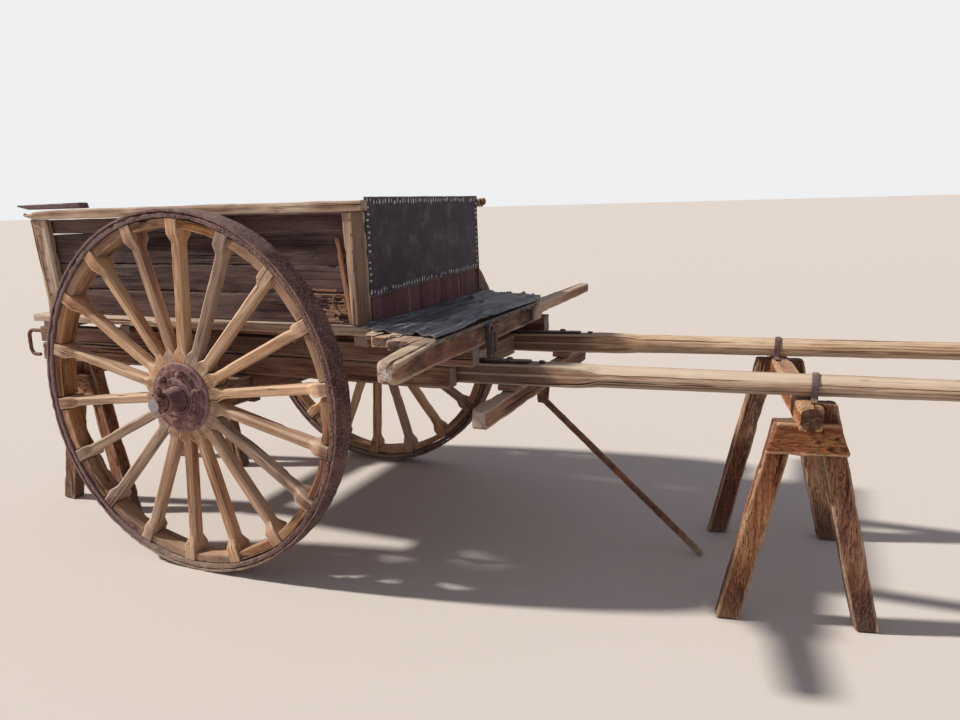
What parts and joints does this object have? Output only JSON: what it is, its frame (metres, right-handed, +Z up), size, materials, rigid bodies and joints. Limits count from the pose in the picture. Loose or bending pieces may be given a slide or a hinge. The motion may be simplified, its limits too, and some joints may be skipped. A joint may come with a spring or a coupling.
{
  "type": "bullock cart",
  "caption": "Two-wheeled wooden ore cart with spoked iron-tyred wheels, open box, driver's platform and round shafts, parked on wooden trestles.",
  "frame": {"origin": "on the ground, at the middle of the cart's length and width", "axes": "+X forward along the shafts, +Y the cart's left side, +Z up"},
  "size_m": [4.88, 2.47, 1.641],
  "materials": {
    "grey_planks": "weathered, dark",
    "pale_wood": "weathered, split",
    "frame_wood": "weathered, oily in the joints",
    "shaft_wood": "sun bleached",
    "trestle_wood": "rough sawn",
    "spoke_wood": "weathered",
    "felloe_wood": "weathered, rust stained",
    "dark_board": "dark slate paint, matt",
    "deck_sheet": "dull blue-grey, dusty",
    "tyre_iron": "pitted rust",
    "hub_iron": "dark rust, greasy",
    "rusty_iron": "rusty",
    "strap_iron": "brown-purple rust"
  },
  "bodies": {
    "cart": {"side_planks_right": "grey_planks", "side_planks_left": "grey_planks", "front_wall_boards": "grey_planks", "rear_wall_boards": "grey_planks", "floor_boards": "grey_planks", "front_panel": "dark_board", "corner_posts": "pale_wood", "side_battens": "frame_wood", "top_rails": "pale_wood", "rail_bar": "strap_iron", "rail_knob": "rusty_iron", "sill_ledges": "pale_wood", "cross_joists": "frame_wood", "body_sills": "frame_wood", "frame_beams": "frame_wood", "cross_bolsters": "pale_wood", "axle_bed": "frame_wood", "axle": "hub_iron", "linchpins": "rusty_iron", "axle_clips": "rusty_iron", "platform_bearers": "frame_wood", "platform_boards": "pale_wood", "platform_sheet": "deck_sheet", "front_beam": "pale_wood", "beam_stirrup": "strap_iron", "shaft_right": "shaft_wood", "shaft_left": "shaft_wood", "shaft_strips": "strap_iron", "lower_timber": "frame_wood", "packing_blocks": "frame_wood", "prop_bracket": "rusty_iron", "rear_hooks": "rusty_iron", "front_trestle_bar": "trestle_wood", "front_trestle_legs": "trestle_wood", "front_trestle_collars": "trestle_wood", "trestle_straps": "strap_iron", "rear_trestle_bar": "trestle_wood", "rear_trestle_legs": "trestle_wood", "rear_trestle_collars": "trestle_wood"},
    "prop": {"prop_rod": "rusty_iron"},
    "wheel_right": {"tyre_right": "tyre_iron", "felloes_right": "felloe_wood", "spokes_right": "spoke_wood", "hub_right": "hub_iron", "hub_flange_right": "hub_iron", "hub_bolts_right": "hub_iron"},
    "wheel_left": {"tyre_left": "tyre_iron", "felloes_left": "felloe_wood", "spokes_left": "spoke_wood", "hub_left": "hub_iron", "hub_flange_left": "hub_iron", "hub_bolts_left": "hub_iron"}
  },
  "joints": [
    {"name": "wheel_right_spin", "type": "hinge", "parent": "cart", "child": "wheel_right", "pos_m": [-1, -0.805, 0.8], "axis": [0, 1, 0], "continuous": true},
    {"name": "wheel_left_spin", "type": "hinge", "parent": "cart", "child": "wheel_left", "pos_m": [-1, 0.805, 0.8], "axis": [0, 1, 0], "continuous": true},
    {"name": "prop_swing", "type": "hinge", "parent": "cart", "child": "prop", "pos_m": [0.34, 0.05, 0.675], "axis": [0, -1, 0], "range_deg": [0, 41]}
  ]
}
